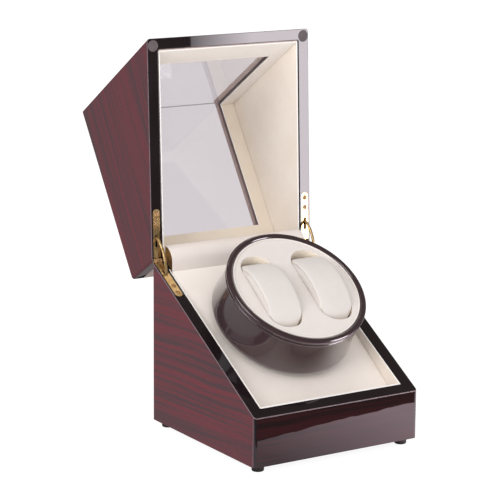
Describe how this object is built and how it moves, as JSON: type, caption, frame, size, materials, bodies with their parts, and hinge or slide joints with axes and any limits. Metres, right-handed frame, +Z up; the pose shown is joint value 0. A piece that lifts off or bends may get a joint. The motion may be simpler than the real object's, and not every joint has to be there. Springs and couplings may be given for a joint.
{
  "type": "watch winder box",
  "caption": "Lacquered box with a slanted opening, a windowed hinged lid and a tilted motor-driven drum that turns wrist watches on padded cuffs.",
  "frame": {"origin": "on the surface that the feet stand on, under the middle of the box with its lid open", "axes": "+Z up, +X to the right seen from the front, +Y from the front to the back where the lid opens"},
  "size_m": [0.175, 0.3078, 0.3598],
  "materials": {
    "veneer": "piano lacquer over streaked dark red veneer, black lacquered rims",
    "black_board": "black flocked board",
    "leather": "smooth cream faux leather",
    "glass": "clear pane with a faint violet cast",
    "brass": "polished gold-coloured brass",
    "bumper": "soft grey-mauve pad",
    "rubber": "black rubber",
    "black_gloss": "glossy brown-black",
    "steel": "satin zinc plate",
    "plastic": "black moulded plastic",
    "circuit": "green laminate"
  },
  "bodies": {
    "case": {"case_left": "veneer", "case_right": "veneer", "case_front": "veneer", "case_back": "veneer", "base_board": "black_board", "foot_front_left": "rubber", "foot_front_right": "rubber", "foot_back_left": "rubber", "foot_back_right": "rubber", "deck": "leather", "lining_left": "leather", "lining_right": "leather", "lining_front": "leather", "hinge_cover": "leather", "case_leaf_left": "brass", "case_leaf_right": "brass", "case_leaf_left_screw_1": "brass", "case_leaf_left_screw_2": "brass", "case_leaf_right_screw_1": "brass", "case_leaf_right_screw_2": "brass", "hinge_pin_left": "brass", "hinge_pin_right": "brass", "gearbox": "steel", "motor": "steel", "gearbox_screw_left": "steel", "gearbox_screw_right": "steel", "control_plate": "plastic", "power_inlet": "plastic", "circuit_board": "circuit"},
    "lid": {"lid_left": "veneer", "lid_right": "veneer", "lid_front": "veneer", "lid_top": "veneer", "lid_back": "veneer", "window_front": "glass", "window_top": "glass", "lid_lining_left": "leather", "lid_lining_right": "leather", "lid_lining_front": "leather", "lid_lining_top": "leather", "lid_lining_back": "leather", "bumper_left": "bumper", "bumper_right": "bumper", "lid_leaf_left": "brass", "lid_leaf_right": "brass", "lid_leaf_left_screw_1": "brass", "lid_leaf_left_screw_2": "brass", "lid_leaf_right_screw_1": "brass", "lid_leaf_right_screw_2": "brass"},
    "drum": {"drum_cup": "black_gloss", "drum_bead": "black_gloss", "drum_insert": "leather", "drum_shaft": "steel", "drum_nut": "steel"},
    "stay_left": {"stay_left": "brass"},
    "stay_right": {"stay_right": "brass"},
    "cuff_left": {"cuff_left": "leather"},
    "cuff_right": {"cuff_right": "leather"},
    "power_switch": {"power_switch": "plastic"},
    "mode_knob": {"mode_knob": "plastic"}
  },
  "joints": [
    {"name": "lid_hinge", "type": "hinge", "parent": "case", "child": "lid", "pos_m": [0, 0.02111, 0.156], "axis": [1, 0, 0], "range_deg": [0, 123.2]},
    {"name": "stay_left_swing", "type": "hinge", "parent": "case", "child": "stay_left", "pos_m": [-0.0818, 0.02111, 0.156], "axis": [1, 0, 0], "range_deg": [0, 28]},
    {"name": "stay_right_swing", "type": "hinge", "parent": "case", "child": "stay_right", "pos_m": [0.0818, 0.02111, 0.156], "axis": [1, 0, 0], "range_deg": [0, 28]},
    {"name": "drum_spin", "type": "hinge", "parent": "case", "child": "drum", "pos_m": [0, -0.05677, 0.10149], "axis": [0, -0.585, 0.8111], "continuous": true},
    {"name": "cuff_left_slide", "type": "slide", "parent": "drum", "child": "cuff_left", "axis": [0, -0.585, 0.8111], "range_m": [0, 0.03]},
    {"name": "cuff_right_slide", "type": "slide", "parent": "drum", "child": "cuff_right", "axis": [0, -0.585, 0.8111], "range_m": [0, 0.03]},
    {"name": "power_switch_rock", "type": "hinge", "parent": "case", "child": "power_switch", "pos_m": [0, 0.02261, 0.036], "axis": [1, 0, 0], "range_deg": [-16, 0]},
    {"name": "mode_knob_turn", "type": "hinge", "parent": "case", "child": "mode_knob", "pos_m": [0.017, 0.02111, 0.036], "axis": [0, 1, 0], "range_deg": [0, 270]}
  ],
  "couplings": [
    {"joint": "stay_left_swing", "follows": "lid_hinge", "ratio": 0.2272},
    {"joint": "stay_right_swing", "follows": "lid_hinge", "ratio": 0.2272}
  ]
}
